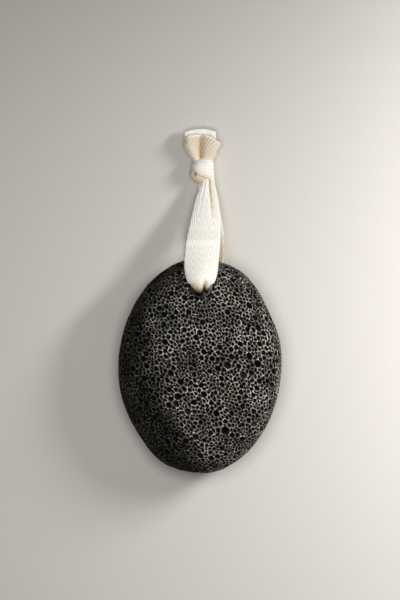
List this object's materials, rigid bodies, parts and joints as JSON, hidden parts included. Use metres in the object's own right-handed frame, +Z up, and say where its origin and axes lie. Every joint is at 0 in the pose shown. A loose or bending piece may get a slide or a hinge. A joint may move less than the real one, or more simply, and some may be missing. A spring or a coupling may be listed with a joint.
{
  "type": "pumice stone",
  "caption": "Egg-shaped dark lava pumice stone for smoothing skin, drilled near its end and threaded with a knotted loop of cream cotton tape.",
  "frame": {"origin": "on the surface that the stone lies on, under the middle of the stone", "axes": "+Z up through the stone's thickness, +Y along the stone's length towards its drilled end and the knot, +X to the right seen from above"},
  "size_m": [0.0746, 0.1587, 0.0354],
  "materials": {
    "pumice": "rough, full of open pores",
    "cotton": "matt herringbone weave"
  },
  "bodies": {
    "root": {"pumice_stone": "pumice", "cotton_tape": "cotton"}
  },
  "joints": []
}
